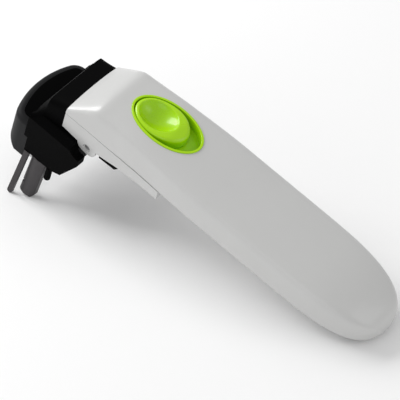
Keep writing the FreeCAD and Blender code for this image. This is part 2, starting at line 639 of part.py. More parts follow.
def make_nose_cap():
    """Dark grey cap round the front of the head, with a rounded rim and cut-back lower corner."""
    body = nose_form(0.0, NOSE_BOTTOM_Z, NOSE_TOP_Z, NOSE_BACK_X)
    rim = [e for e in body.Edges if e.BoundBox.ZMin > NOSE_TOP_Z - 0.01 and e.BoundBox.XMin < NOSE_BACK_X - 1]
    body = body.makeFillet(NOSE_RIM_RADIUS, rim)
    body = body.cut(nose_form(NOSE_WALL, NOSE_BOTTOM_Z - 1, 0, NOSE_BACK_X + 5))
    body = body.cut(box(HEAD_FRONT_X - 0.1, 0, -40, 40, NOSE_BACK_TOP_Z, 0))
    chin = [(NOSE_X - 2, NOSE_BOTTOM_Z + 8.5), (NOSE_X + 0.8, NOSE_BOTTOM_Z + 8.5),
            (NOSE_X + 10.5, NOSE_BOTTOM_Z - 0.01), (NOSE_X - 2, NOSE_BOTTOM_Z - 0.01)]
    return body.cut(side_prism(chin, 40))


def make_motor_plate():
    """Steel plate between the motor and the gears; it holds the upper ends of the pins."""
    z0 = PLATE_TOP_Z - PLATE_THICKNESS
    half = HEAD_HALF_WIDTH - HEAD_WALL - 0.1
    plate = box(NOSE_BACK_X + HEAD_WALL + 0.1, MIDDLE_REAR_X - REAR_WALL - 0.2, -half, half, z0,
                PLATE_TOP_Z - 0.02)
    plate = plate.fuse(nose_form(NOSE_WALL + 0.2 + HEAD_WALL, z0, PLATE_TOP_Z - 0.02,
                                  NOSE_BACK_X + HEAD_WALL + 1))
    plate = plate.cut(cyl_z(MOTOR_X, 0, -80, 0, 3.0))
    plate = plate.cut(cyl_z(DRIVE_X, DRIVE_Y, -80, 0, DRIVE_TOP_RADIUS + RUNNING_CLEARANCE))
    for x, y in pin_places():
        plate = plate.cut(cyl_z(x, y, -80, 0, GEAR_PIN_RADIUS))
    return plate.removeSplitter()


def make_motor():
    """Motor can with its nose bearing, standing on the plate."""
    can = cyl_z(MOTOR_X, 0, PLATE_TOP_Z, MOTOR_TOP_Z, MOTOR_RADIUS)
    rims = [e for e in can.Edges if isinstance(e.Curve, Part.Circle)]
    can = can.makeFillet(0.8, rims)
    boss = cyl_z(MOTOR_X, 0, PLATE_TOP_Z - PLATE_THICKNESS, PLATE_TOP_Z + 1, 2.9)
    return can.fuse(boss).cut(cyl_z(MOTOR_X, 0, -80, PLATE_TOP_Z + 12, MOTOR_SHAFT_RADIUS + RUNNING_CLEARANCE))


def make_motor_shaft():
    """Motor shaft, from inside the can down through its pinion."""
    return cyl_z(MOTOR_X, 0, layer_z(0) - GEAR_THICKNESS, PLATE_TOP_Z + 11.5, MOTOR_SHAFT_RADIUS)


# ---- gears --------------------------------------------------------------------------------------
def layer_z(n):
    """Top of gear layer n, counted down from the plate."""
    return PLATE_TOP_Z - PLATE_THICKNESS - 0.35 - n * (GEAR_THICKNESS + GEAR_GAP)


def centre_distance(teeth_a, teeth_b, module):
    """Distance between the axes of two meshing gears."""
    return (teeth_a + teeth_b) * module / 2


def meet(a, ra, b, rb):
    """Point at distance ra from a and rb from b, on the side with the smaller x."""
    dx, dy = b[0] - a[0], b[1] - a[1]
    gap = math.hypot(dx, dy)
    along = (ra * ra - rb * rb + gap * gap) / (2 * gap)
    off = math.sqrt(ra * ra - along * along)
    mid = (a[0] + dx * along / gap, a[1] + dy * along / gap)
    first = (mid[0] - dy * off / gap, mid[1] + dx * off / gap)
    second = (mid[0] + dy * off / gap, mid[1] - dx * off / gap)
    return min(first, second)


def pin_places():
    """Axes of the two gear pins."""
    first = meet((MOTOR_X, 0), centre_distance(MOTOR_TEETH, WHEEL_TEETH, MODULE),
                 (DRIVE_X, DRIVE_Y), centre_distance(PINION_TEETH, DRIVE_TEETH, FINAL_MODULE))
    reach = centre_distance(PINION_TEETH, WHEEL_TEETH, MODULE)
    lay = math.radians(LAY_ANGLE)
    return [first, (first[0] + reach * math.cos(lay), first[1] + reach * math.sin(lay))]


def involute(base, radius):
    """Angle of the involute of the base circle where it reaches the radius."""
    pressure = math.acos(min(1.0, base / radius))
    return math.tan(pressure) - pressure


def spur_gear(teeth, module, centre, z_top, thickness, turn):
    """Spur gear; turn is the direction of one tooth's middle, in radians."""
    pitch = teeth * module / 2
    tip = pitch + module * 0.92
    root = pitch - module * 1.25
    base = pitch * math.cos(math.radians(20))
    half_tooth = math.pi / (2 * teeth) - BACKLASH / 2 / (2 * pitch) + involute(base, pitch)
    start = max(base, root)
    points = []
    for n in range(teeth):
        middle = turn + 2 * math.pi * n / teeth
        flank = []
        for i in range(FLANK_POINTS):
            radius = start + (tip - start) * i / (FLANK_POINTS - 1)
            flank.append((radius, half_tooth - involute(base, radius)))
        if root < base:
            flank.insert(0, (root, flank[0][1]))
        points += [(r, middle - a) for r, a in flank]
        points += [(r, middle + a) for r, a in reversed(flank)]
    x, y = centre
    outline = [V(x + r * math.cos(a), y + r * math.sin(a), z_top - thickness) for r, a in points]
    return Part.Face(polygon_wire(outline)).extrude(V(0, 0, thickness))


def direction(a, b):
    """Direction from point a to point b, in radians."""
    return math.atan2(b[1] - a[1], b[0] - a[0])



def mesh_turn(driver_turn, driver_teeth, towards, teeth):
    """Turn of a gear that meshes with a driver whose tooth stands at driver_turn.

    towards is the direction from the driver to the gear.
    """
    phase = (towards - driver_turn) * driver_teeth
    return towards + math.pi + math.pi / teeth + phase / teeth


def cluster(centre, n, pinion_module, wheel_turn, pinion_turn):
    """Wheel in layer n and its pinion in the layer below, turning on a pin."""
    wheel = spur_gear(WHEEL_TEETH, MODULE, centre, layer_z(n), GEAR_THICKNESS, wheel_turn)
    pinion = spur_gear(PINION_TEETH, pinion_module, centre, layer_z(n) - GEAR_THICKNESS + 0.01,
                       GEAR_THICKNESS + GEAR_GAP, pinion_turn)
    bore = cyl_z(centre[0], centre[1], -80, 0, GEAR_PIN_RADIUS + RUNNING_CLEARANCE)
    return wheel.fuse(pinion).cut(bore)


def gear_turns():
    """Turn of every gear at rest, so that each pair is in mesh."""
    p, q = pin_places()
    motor = (MOTOR_X, 0.0)
    drive = (DRIVE_X, DRIVE_Y)
    turns = {"motor": direction(motor, p)}
    turns["wheel_1"] = mesh_turn(turns["motor"], MOTOR_TEETH, direction(motor, p), WHEEL_TEETH)
    turns["pinion_1"] = direction(p, q)
    turns["wheel_2"] = mesh_turn(turns["pinion_1"], PINION_TEETH, direction(p, q), WHEEL_TEETH)
    turns["pinion_2"] = direction(q, p)
    turns["wheel_3"] = mesh_turn(turns["pinion_2"], PINION_TEETH, direction(q, p), WHEEL_TEETH)
    turns["pinion_3"] = direction(p, drive)
    turns["drive"] = mesh_turn(turns["pinion_3"], PINION_TEETH, direction(p, drive), DRIVE_TEETH)
    return turns


def make_motor_pinion(turns):
    """Pinion pressed on the motor shaft."""
    gear = spur_gear(MOTOR_TEETH, MODULE, (MOTOR_X, 0), layer_z(0), GEAR_THICKNESS, turns["motor"])
    return gear.cut(cyl_z(MOTOR_X, 0, -80, 0, MOTOR_SHAFT_RADIUS))


def make_drive_gear(turns):
    """Last gear of the train, pressed on the drive shaft."""
    centre = (DRIVE_X, DRIVE_Y)
    gear = spur_gear(DRIVE_TEETH, FINAL_MODULE, centre, layer_z(3), GEAR_THICKNESS, turns["drive"])
    return gear.cut(cyl_z(DRIVE_X, DRIVE_Y, -80, 0, DRIVE_SHAFT_RADIUS))


def make_drive_shaft():
    """Upright shaft from the motor plate down into the drive wheel."""
    step = layer_z(3)
    shaft = cyl_z(DRIVE_X, DRIVE_Y, WHEEL_BOTTOM_Z - 0.6, step, DRIVE_SHAFT_RADIUS)
    return shaft.fuse(cyl_z(DRIVE_X, DRIVE_Y, step - 1, PLATE_TOP_Z - 0.1, DRIVE_TOP_RADIUS))


def make_drive_wheel():
    """Serrated wheel that walks the tool round the rim of the can."""
    points = []
    for n in range(DRIVE_WHEEL_TEETH * 2):
        radius = DRIVE_WHEEL_RADIUS - (0.55 if n % 2 else 0.0)
        angle = math.pi * n / DRIVE_WHEEL_TEETH
        points.append(V(DRIVE_X + radius * math.cos(angle), DRIVE_Y + radius * math.sin(angle), WHEEL_BOTTOM_Z))
    wheel = Part.Face(polygon_wire(points)).extrude(V(0, 0, DRIVE_WHEEL_LENGTH))
    return wheel.cut(cyl_z(DRIVE_X, DRIVE_Y, -90, 0, DRIVE_SHAFT_RADIUS))


def make_drive_bush():
    """Flanged bronze bush in the base plate."""
    low = HOUSING_FLOOR_Z - BASE_THICKNESS
    bush = cyl_z(DRIVE_X, DRIVE_Y, low - BUSH_FLANGE, HOUSING_FLOOR_Z, BUSH_OUTER)
    bush = bush.fuse(cyl_z(DRIVE_X, DRIVE_Y, low - BUSH_FLANGE, low, BUSH_OUTER + 1.2))
    return bush.cut(cyl_z(DRIVE_X, DRIVE_Y, -90, 0, DRIVE_SHAFT_RADIUS + RUNNING_CLEARANCE))


def make_gear_pins():
    """Two steel pins from the motor plate into the base plate."""
    pins = []
    for x, y in pin_places():
        pins.append(cyl_z(x, y, HOUSING_FLOOR_Z - PIN_SEAT, PLATE_TOP_Z - 0.05, GEAR_PIN_RADIUS))
    return Part.makeCompound(pins)


# ---- cutter and guides --------------------------------------------------------------------------
def make_cutter_bracket():
    """Steel angle under the base plate with the cutter's axle."""
    low = HOUSING_FLOOR_Z - BASE_THICKNESS
    y1 = CUTTER_Y + CUTTER_THICKNESS / 2 + 0.3 + BRACKET_THICKNESS
    y0 = y1 - BRACKET_THICKNESS
    leaf = box(CUTTER_X - 4, CUTTER_X + 4, y0, y1, CUTTER_Z, low)
    leaf = leaf.fuse(cyl_y(CUTTER_X, CUTTER_Z, y0, y1, 4.0))
    foot = box(CUTTER_X - 4, CUTTER_X + 4, y0, y1 + 8.0, low - BRACKET_THICKNESS, low)
    foot = foot.cut(cyl_z(CUTTER_X, y1 + 4.5, -90, 0, GUIDE_SCREW_RADIUS + 0.1))
    return union([leaf, foot]).cut(cyl_y(CUTTER_X, CUTTER_Z, -40, 40, CUTTER_AXLE_RADIUS))


def make_cutter_axle():
    """Headed axle of the cutting wheel."""
    y1 = CUTTER_Y + CUTTER_THICKNESS / 2 + 0.3 + BRACKET_THICKNESS
    y0 = CUTTER_Y - CUTTER_THICKNESS / 2 - 0.15
    return cyl_y(CUTTER_X, CUTTER_Z, y0 - 0.1, y1 + 0.5, CUTTER_AXLE_RADIUS).fuse(
        cyl_y(CUTTER_X, CUTTER_Z, y0 - 1.0, y0, CUTTER_AXLE_RADIUS + 1.0))


def make_cutter_wheel():
    """Thin cutting wheel, bevelled to a sharp rim."""
    half = CUTTER_THICKNESS / 2
    r0, r1 = CUTTER_AXLE_RADIUS + RUNNING_CLEARANCE, CUTTER_RADIUS
    profile = [V(CUTTER_X, CUTTER_Y - half, CUTTER_Z + r0), V(CUTTER_X, CUTTER_Y - half, CUTTER_Z + r1 - 1.8),
               V(CUTTER_X, CUTTER_Y + half - 0.15, CUTTER_Z + r1), V(CUTTER_X, CUTTER_Y + half, CUTTER_Z + r1),
               V(CUTTER_X, CUTTER_Y + half, CUTTER_Z + r0)]
    return Part.Face(polygon_wire(profile)).revolve(V(CUTTER_X, 0, CUTTER_Z), V(0, 1, 0), 360)


def lean(shape, x, degrees):
    """Tip a piece that hangs from the base outwards, away from the mid plane."""
    low = HOUSING_FLOOR_Z - BASE_THICKNESS
    shape = shape.copy()
    shape.rotate(V(x, GUIDE_Y, low), V(1, 0, 0), -degrees)
    return shape


def make_guide_plate():
    """Wide hanging plate, bent round the upright, that keeps the can against the drive wheel."""
    low = HOUSING_FLOOR_Z - BASE_THICKNESS
    outer = GUIDE_PLATE_CURVE
    length = GUIDE_PLATE_LENGTH
    axis_y = GUIDE_Y - GUIDE_THICKNESS + outer
    tube = cyl_z(GUIDE_PLATE_X, axis_y, low - length, low + 2, outer)
    tube = tube.cut(cyl_z(GUIDE_PLATE_X, axis_y, low - length - 1, low + 3, outer - GUIDE_THICKNESS))
    half = GUIDE_PLATE_WIDTH / 2
    strip = tube.common(box(GUIDE_PLATE_X - half, GUIDE_PLATE_X + half, -60, axis_y - 1.0, low - length, low + 2))
    corners = side_prism([(GUIDE_PLATE_X - half, low + 3), (GUIDE_PLATE_X + half, low + 3),
                          (GUIDE_PLATE_X + half, low - length + 2.0), (GUIDE_PLATE_X + half - 1.4, low - length),
                          (GUIDE_PLATE_X - half + 0.6, low - length), (GUIDE_PLATE_X - half, low - length + 0.6)], 60)
    strip = lean(strip.common(corners), GUIDE_PLATE_X, GUIDE_LEAN)
    strip = strip.common(box(-60, 0, -60, 0, -200, low))
    foot = box(GUIDE_PLATE_X - half, GUIDE_PLATE_X + half, GUIDE_Y - 0.8, GUIDE_FOOT_Y, low - BRACKET_THICKNESS, low)
    foot = foot.cut(cyl_z(GUIDE_SCREWS[1][0], GUIDE_SCREWS[1][1], -90, 0, GUIDE_SCREW_RADIUS + 0.1))
    notch = lean(box(GUIDE_PLATE_X - half - 1, GUIDE_PLATE_X - half + 1.2, -60, 0, low - length * 0.78,
                     low - length * 0.72), GUIDE_PLATE_X, GUIDE_LEAN)
    return union([strip, foot]).cut(notch)


def make_guide_finger():
    """Narrow hanging finger with a round tip, beside the wide plate."""
    low = HOUSING_FLOOR_Z - BASE_THICKNESS
    half = FINGER_WIDTH / 2
    tip = low - FINGER_LENGTH
    y0 = GUIDE_Y - GUIDE_THICKNESS
    strip = box(FINGER_X - half, FINGER_X + half, y0, GUIDE_Y, tip + half, low + 2)
    strip = strip.fuse(cyl_y(FINGER_X, tip + half, y0, GUIDE_Y, half))
    strip = lean(strip, FINGER_X, FINGER_LEAN).common(box(-60, 0, -60, 0, -200, low))
    foot = box(FINGER_X - half, FINGER_X + half, GUIDE_Y - 0.8, GUIDE_FOOT_Y, low - BRACKET_THICKNESS, low)
    foot = foot.cut(cyl_z(GUIDE_SCREWS[0][0], GUIDE_SCREWS[0][1], -90, 0, GUIDE_SCREW_RADIUS + 0.1))
    return union([strip, foot])


def make_rim_post():
    """Short black peg behind the wide plate, pressed into the base plate."""
    low = HOUSING_FLOOR_Z - BASE_THICKNESS
    peg = cyl_z(POST_X, GUIDE_Y, low - POST_LENGTH, low, POST_RADIUS)
    tip = [e for e in peg.Edges if e.BoundBox.ZMax < low - POST_LENGTH + 0.01]
    peg = peg.makeChamfer(0.5, tip)
    return peg.fuse(cyl_z(POST_X, GUIDE_Y, low - 0.5, low + 1.6, POST_RADIUS * 0.7))


# ==== sizes that follow from the ones above ======================================================
FLANK_POINTS = 4
POST_OUTER = 2.8
SCREW_BITE = 3.4
CRADLE_TOP_Z = -1.8
CELL_Z = CRADLE_TOP_Z - BAY_WALL - 0.3 - CELL_RADIUS
CELL_X0 = DOOR_X + 7.3
CELL_X1 = CELL_X0 + 2 * CELL_LENGTH + 0.2
CRADLE_SCREWS = (CELL_X0 + 14.0, CELL_X1 - 14.0)
SHELL_SCREWS = ((27.0, 15.5), (27.0, -15.5))
SHELL_SCREW_SEAT_Z = NECK_BOTTOM_Z + 3.4
EAR_INNER_Y = NECK_HALF_WIDTH - WALL - 0.2
PIN_OUTER_Y = NECK_HALF_WIDTH - 0.5 - PIN_RECESS
PIN_INNER_Y = EAR_INNER_Y - 4.4
COLLAR_HALF_WIDTH = EAR_INNER_Y - 0.35
VISOR_RADIUS = 21.3
VISOR_BACK_X = -3.0
COLLAR_BACK_X = NECK_FRONT_X - 0.35
COLLAR_BACK_TOP = CROWN + NECK_DROP / -NECK_FRONT_X * COLLAR_BACK_X - 0.15
COLLAR_POWER = UPPER_POWER
LUG_RADIUS = 4.6
REAR_WALL = 1.6
EAR_CLEARANCE = 0.6
SLIDER_X = WELL_X - WELL_LENGTH / 2 + BEZEL_WALL + SLIDER_GAP + SLIDER_LENGTH / 2
SLIDER_DOME = 60.0
HEEL_SHIFT = 8.0
SCOOP_RADIUS = 13.0
SCOOP_SHIFT = 4.0
SCOOP_DEPTH = 4.4
STEM_X = SLIDER_X
SLIDER_FOOT_Z = CROWN - WELL_DEPTH - 1.4 - 0.15 - 1.6
SWITCH_TOP_Z = SLIDER_FOOT_Z - 2.2
SWITCH_KNOB = 3.0
SWITCH_DEPTH = 7.1
SWITCH_STANDS = (22.0, 41.0)
LATCH_STEM_X0 = 11.0
LATCH_STEM_X1 = 15.0
LATCH_STEM_HALF = 3.0
LATCH_BAR_Z = -29.0
HEAD_POST = 2.3
HEAD_SCREWS = ((-14.2, 20.0), (-26.4, 19.6), (-38.3, 0.5))
NOSE_RIM_RADIUS = 3.0
MOTOR_TOP_Z = PLATE_TOP_Z + MOTOR_LENGTH
PIN_SEAT = 1.2
BUSH_OUTER = DRIVE_SHAFT_RADIUS + BUSH_WALL
WHEEL_BOTTOM_Z = HOUSING_FLOOR_Z - BASE_THICKNESS - BUSH_FLANGE - 0.3 - DRIVE_WHEEL_LENGTH
GUIDE_SCREW_RADIUS = 0.8
GUIDE_SCREW_HEAD = 1.3
GUIDE_BITE = 1.8
GUIDE_FOOT_Y = -18.4
GUIDE_SCREWS = ((FINGER_X, -20.2), (GUIDE_PLATE_X, -19.9),
                (CUTTER_X, CUTTER_Y + CUTTER_THICKNESS / 2 + 0.3 + BRACKET_THICKNESS + 4.5))


def make_guide_screws():
    """Small screws of the guides and of the cutter bracket."""
    seat = HOUSING_FLOOR_Z - BASE_THICKNESS - BRACKET_THICKNESS
    screws = []
    for x, y in GUIDE_SCREWS:
        screws.append(screw_up(x, y, seat, BRACKET_THICKNESS + GUIDE_BITE, GUIDE_SCREW_RADIUS, GUIDE_SCREW_HEAD))
    return Part.makeCompound(screws)


def make_head_screws():
    """Screws that hold the base plate."""
    seat = HOUSING_FLOOR_Z - BASE_THICKNESS
    return Part.makeCompound([screw_up(x, y, seat, BASE_THICKNESS + SCREW_BITE) for x, y in HEAD_SCREWS])


def make_shell_screws():
    """Screws that hold the neck's two shells together."""
    length = SEAM_Z + SHELL_GAP + SCREW_BITE - SHELL_SCREW_SEAT_Z
    return Part.makeCompound([screw_up(x, y, SHELL_SCREW_SEAT_Z, length) for x, y in SHELL_SCREWS])


def make_cradle_screws():
    """Screws that hold the cell tray under the top shell."""
    seat = CRADLE_TOP_Z - BAY_WALL
    return Part.makeCompound([screw_up(x, 0, seat, BAY_WALL + SCREW_BITE, SCREW_RADIUS, 1.7)
                              for x in CRADLE_SCREWS])


# ==== standing place =============================================================================
def rest_tilt():
    """Angle at which the tool stands on the tip of its guide finger and on its tail, in radians."""
    low = HOUSING_FLOOR_Z - BASE_THICKNESS
    tip_z = low - FINGER_LENGTH * math.cos(math.radians(FINGER_LEAN))
    slopes = []
    for i in range(200):
        x = TAPER_X + (TAIL_X - TAPER_X) * i / 200
        slopes.append((bottom_z(x, 0.0, PAN_BOTTOM_Z) - tip_z) / (x - FINGER_X))
    return math.atan(min(slopes))


def place(shape, shift):
    """Tip the piece by the rest tilt and move it by the shift."""
    shape = shape.copy()
    shape.rotate(V(0, 0, 0), V(0, 1, 0), math.degrees(rest_tilt()))
    shape.translate(shift)
    return shape


def build():
    """All the pieces, in the handle's frame."""
    turns = gear_turns()
    p, q = pin_places()
    return {
        "upper_shell": make_upper_shell(),
        "lower_shell": make_lower_shell(),
        "battery_door": make_battery_door(),
        "slider_bezel": make_bezel(),
        "thumb_slider": make_thumb_slider(),
        "slider_carrier": make_slider_carrier(),
        "slide_switch": make_slide_switch(),
        "switch_knob": make_switch_knob(),
        "battery_cells": make_cells(),
        "battery_cradle": make_cradle(),
        "front_contacts": make_front_contacts(),
        "rear_contact": make_rear_contact(),
        "cradle_screws": make_cradle_screws(),
        "shell_screws": make_shell_screws(),
        "pivot_pins": make_pivot_pins(),
        "release_latch": make_release_latch(),
        "head_housing": make_head_housing(),
        "base_plate": make_base_plate(),
        "nose_cap": make_nose_cap(),
        "head_screws": make_head_screws(),
        "motor": make_motor(),
        "motor_plate": make_motor_plate(),
        "motor_shaft": make_motor_shaft(),
        "motor_pinion": make_motor_pinion(turns),
        "gear_cluster_1": cluster(p, 0, MODULE, turns["wheel_1"], turns["pinion_1"]),
        "gear_cluster_2": cluster(q, 1, MODULE, turns["wheel_2"], turns["pinion_2"]),
        "gear_cluster_3": cluster(p, 2, FINAL_MODULE, turns["wheel_3"], turns["pinion_3"]),
        "drive_gear": make_drive_gear(turns),
        "drive_shaft": make_drive_shaft(),
        "drive_wheel": make_drive_wheel(),
        "drive_bush": make_drive_bush(),
        "gear_pins": make_gear_pins(),
        "cutter_bracket": make_cutter_bracket(),
        "cutter_axle": make_cutter_axle(),
        "cutter_wheel": make_cutter_wheel(),
        "guide_plate": make_guide_plate(),
        "guide_finger": make_guide_finger(),
        "guide_screws": make_guide_screws(),
        "rim_post": make_rim_post(),
    }


def whole_box(shapes):
    """Box round all the pieces."""
    total = FreeCAD.BoundBox()
    for shape in shapes:
        total.add(shape.optimalBoundingBox(True, False))
    return total


def rest_shift(shapes):
    """Shift that puts the tipped tool on the ground with the origin under its middle."""
    b = whole_box([place(s, V(0, 0, 0)) for s in shapes])
    return V(-(b.XMin + b.XMax) / 2, -(b.YMin + b.YMax) / 2, -b.ZMin)


def main():
    """Build, place and write every piece."""
    os.makedirs("parts", exist_ok=True)
    pieces = build()
    shift = rest_shift(pieces.values())
    for name, shape in pieces.items():
        place(shape, shift).exportStep(f"parts/{name}.step")
    print(f"tilt {math.degrees(rest_tilt()):.3f} deg, shift {shift.x:.4f} {shift.y:.4f} {shift.z:.4f} mm")


if __name__ == "__main__":
    main()
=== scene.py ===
"""Finishes and studio for a cordless can opener, laid out as an add-on and run as a script."""
import json
import math

import bmesh
import bpy
import numpy as np
from mathutils import Matrix, Vector


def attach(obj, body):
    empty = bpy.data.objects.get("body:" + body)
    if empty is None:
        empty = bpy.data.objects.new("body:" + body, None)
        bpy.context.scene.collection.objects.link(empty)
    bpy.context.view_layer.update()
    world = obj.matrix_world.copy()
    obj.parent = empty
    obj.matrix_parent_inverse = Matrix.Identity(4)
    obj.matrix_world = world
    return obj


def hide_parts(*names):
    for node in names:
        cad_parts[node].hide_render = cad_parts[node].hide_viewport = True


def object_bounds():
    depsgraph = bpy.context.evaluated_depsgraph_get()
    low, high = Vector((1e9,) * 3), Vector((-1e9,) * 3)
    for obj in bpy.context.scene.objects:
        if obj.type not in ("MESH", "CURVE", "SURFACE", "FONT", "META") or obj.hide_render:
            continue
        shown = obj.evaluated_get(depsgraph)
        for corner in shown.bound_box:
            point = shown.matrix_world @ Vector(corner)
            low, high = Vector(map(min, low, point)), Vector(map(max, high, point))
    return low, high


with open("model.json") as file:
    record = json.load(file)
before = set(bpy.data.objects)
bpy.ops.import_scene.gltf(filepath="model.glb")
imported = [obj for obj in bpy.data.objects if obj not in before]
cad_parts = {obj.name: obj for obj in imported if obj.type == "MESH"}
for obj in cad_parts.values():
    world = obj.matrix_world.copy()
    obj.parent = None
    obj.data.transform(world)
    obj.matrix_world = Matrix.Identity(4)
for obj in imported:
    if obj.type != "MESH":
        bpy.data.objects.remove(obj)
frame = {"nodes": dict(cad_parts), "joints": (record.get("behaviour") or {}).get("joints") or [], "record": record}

CAD_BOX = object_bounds()

bl_info = {
    "name": "Can Opener Finish",
    "version": (1, 0, 0),
    "blender": (4, 5, 0),
    "location": "View3D > Sidebar > Can Opener",
    "description": "Gives a cordless can opener its mouldings, metals and studio",
    "category": "Object",
}

SEAT = 1e-5               # points nearer than this are one point, in metres
CREASE = 0.5              # edges that turn more than this stay crisp, in radians
EDGE_SEGMENTS = 3         # steps across a softened edge
METAL_EDGE = 0.0003       # softness of the pressed metal's edges


# ---- settings -----------------------------------------------------------------------------------
def colour(name, description, default):
    """A colour setting."""
    return bpy.props.FloatVectorProperty(name=name, description=description, subtype="COLOR",
                                         size=3, min=0.0, max=1.0, default=default)


class CANOPENER_PG_handle(bpy.types.PropertyGroup):
    shell: colour("Shell", "White of the handle's mouldings", (0.60, 0.60, 0.592))
    slider: colour("Slider", "Green of the thumb slider", (0.40, 0.73, 0.001))
    well: colour("Well", "Green of the well round the slider", (0.42, 0.74, 0.001))
    edge: bpy.props.FloatProperty(name="Edge", description="Softness of the well's edges",
                                  default=0.0003, min=0.0, max=0.001, subtype="DISTANCE", unit="LENGTH")


class CANOPENER_PG_head(bpy.types.PropertyGroup):
    housing: colour("Housing", "Black of the head's body", (0.0018, 0.0018, 0.0019))
    cap: colour("Cap", "Dark grey of the cap round the front", (0.017, 0.017, 0.018))
    guide: colour("Guides", "Dark plating of the guides", (0.085, 0.08, 0.083))
    edge: bpy.props.FloatProperty(name="Edge", description="Softness of the head's edges",
                                  default=0.0006, min=0.0, max=0.002, subtype="DISTANCE", unit="LENGTH")


class CANOPENER_PG_studio(bpy.types.PropertyGroup):
    azimuth: bpy.props.FloatProperty(name="Azimuth", description="Side that the camera stands on",
                                     default=math.radians(42.9), subtype="ANGLE", unit="ROTATION")
    elevation: bpy.props.FloatProperty(name="Elevation", description="Height of the camera over the floor",
                                       default=math.radians(42.8), subtype="ANGLE", unit="ROTATION")
    roll: bpy.props.FloatProperty(name="Roll", description="Turn of the camera about its own axis",
                                  default=math.radians(-4.9), subtype="ANGLE", unit="ROTATION")
    span: bpy.props.FloatProperty(name="Span", description="Width that the camera takes in",
                                  default=0.192, min=0.05, subtype="DISTANCE", unit="LENGTH")
    lens: bpy.props.FloatProperty(name="Lens", description="Focal length in millimetres", default=300.0)
    floor: colour("Floor", "Pale floor", (0.93, 0.93, 0.93))
    light: bpy.props.FloatProperty(name="Light", description="Strength of the soft boxes", default=1.0)


# ---- shader writing -----------------------------------------------------------------------------
class Value:
    """A number socket that takes part in Python expressions."""

    def __init__(self, paint, socket):
        self.paint = paint
        self.socket = socket

    def join(self, operation, first, second):
        return self.paint.node("ShaderNodeMath", {"operation": operation}, {0: first, 1: second})

    def __add__(self, other):
        return self.join("ADD", self, other)

    __radd__ = __add__

    def __sub__(self, other):
        return self.join("SUBTRACT", self, other)

    def __rsub__(self, other):
        return self.join("SUBTRACT", other, self)

    def __mul__(self, other):
        return self.join("MULTIPLY", self, other)

    __rmul__ = __mul__

    def __pow__(self, other):
        return self.join("POWER", self, other)


class Paint:
    """A material and the means to add nodes to it."""

    def __init__(self, name):
        self.material = bpy.data.materials.new(name)
        self.material.use_nodes = True
        self.tree = self.material.node_tree
        self.shader = self.tree.nodes["Principled BSDF"]
        self.place = self.node("ShaderNodeTexCoord", {}, {}, "Object")

    def node(self, kind, settings, inputs, output=0):
        """Add a node: settings first, then its sockets' values or links; returns one output."""
        made = self.tree.nodes.new(kind)
        for key, value in settings.items():
            setattr(made, key, value)
        for key, value in inputs.items():
            self.feed(made.inputs[key], value)
        return Value(self, made.outputs[output])

    def feed(self, socket, value):
        """Link a value into a socket, or set the socket's own number."""
        if isinstance(value, Value):
            self.tree.links.new(value.socket, socket)
        else:
            socket.default_value = value

    def noise(self, scale, detail=3.0, rough=0.5):
        """Noise of that many waves per metre, from 0 to 1."""
        return self.node("ShaderNodeTexNoise", {}, {"Vector": self.place, "Scale": scale,
                                                    "Detail": detail, "Roughness": rough})

    def tint(self, amount, first, second):
        """Blend of two colours."""
        return self.node("ShaderNodeMix", {"data_type": "RGBA"},
                         {"Factor": amount, 6: (*first, 1.0), 7: (*second, 1.0)}, 2)

    def stretched(self, stretch):
        """Object place, stretched along the axes."""
        return self.node("ShaderNodeMapping", {}, {"Vector": self.place, "Scale": stretch})

    def set(self, **inputs):
        """Set the shader's sockets; an underscore in a name stands for a space."""
        for key, value in inputs.items():
            self.feed(self.shader.inputs[key.replace("_", " ")], value)
        return self.material

    def relief(self, height, strength, distance):
        """Bump from a height."""
        return self.node("ShaderNodeBump", {}, {"Height": height, "Strength": strength,
                                                "Distance": distance}, "Normal")


CLOUD = 35.0              # waves a metre: slow drift of the plastic's tone
SWELL = 90.0              # slow unevenness of a moulded face
SCUFF = 240.0             # marks from handling
GRAIN = 5200.0            # fine texture of the mould
DRAWN = 900.0             # lines along drawn or turned metal
STAIN = 160.0             # patches on metal
MOULD_RELIEF = 0.00006    # height of the mould's texture, in metres
DRAWN_RELIEF = 0.00003    # height of the drawn lines, in metres
PLASTIC_IOR = 1.5
COAT_ROUGHNESS = 0.12
WORKS_BLACK = (0.02, 0.02, 0.02)


def darker(base, share):
    """A colour taken down to that share."""
    return tuple(share * c for c in base)


def moulded(name, base, rough, texture, coat=0.0, shine=0.5):
    """Injection-moulded plastic: faint cloudiness, fine spark texture, handling scuffs."""
    paint = Paint(name)
    cloud = paint.noise(CLOUD, 4.0)
    grain = paint.noise(GRAIN, 2.0)
    scuff = paint.noise(SCUFF, 6.0, 0.7) ** 5.0
    tone = paint.tint(cloud * 0.6 + scuff * 0.5, base, darker(base, 0.90))
    swell = paint.noise(SWELL, 2.0)
    relief = paint.relief(grain * texture + swell * 0.6, 0.22, MOULD_RELIEF)
    return paint.set(Base_Color=tone, Roughness=cloud * 0.06 + scuff * 0.35 + rough, Normal=relief,
                     Coat_Weight=coat, Coat_Roughness=COAT_ROUGHNESS, IOR=PLASTIC_IOR,
                     Specular_IOR_Level=shine)


def brushed(name, base, rough, stretch, metal=1.0):
    """Metal with fine drawn lines along one axis, and slight stains."""
    paint = Paint(name)
    lines = paint.node("ShaderNodeTexNoise", {}, {"Vector": paint.stretched(stretch), "Scale": DRAWN,
                                                  "Detail": 4.0})
    stain = paint.noise(STAIN, 5.0, 0.6)
    tone = paint.tint(stain * 0.5 + lines * 0.4, base, darker(base, 0.68))
    return paint.set(Base_Color=tone, Metallic=metal, Roughness=lines * 0.18 + stain * 0.1 + rough,
                     Normal=paint.relief(lines, 0.25, DRAWN_RELIEF))


# ---- pieces -------------------------------------------------------------------------------------
def body_of_node(node):
    """Body that a frame node belongs to."""
    for body, members in frame["record"]["behaviour"]["bodies"].items():
        if node in members:
            return body
    raise ValueError(f"no body holds {node}")


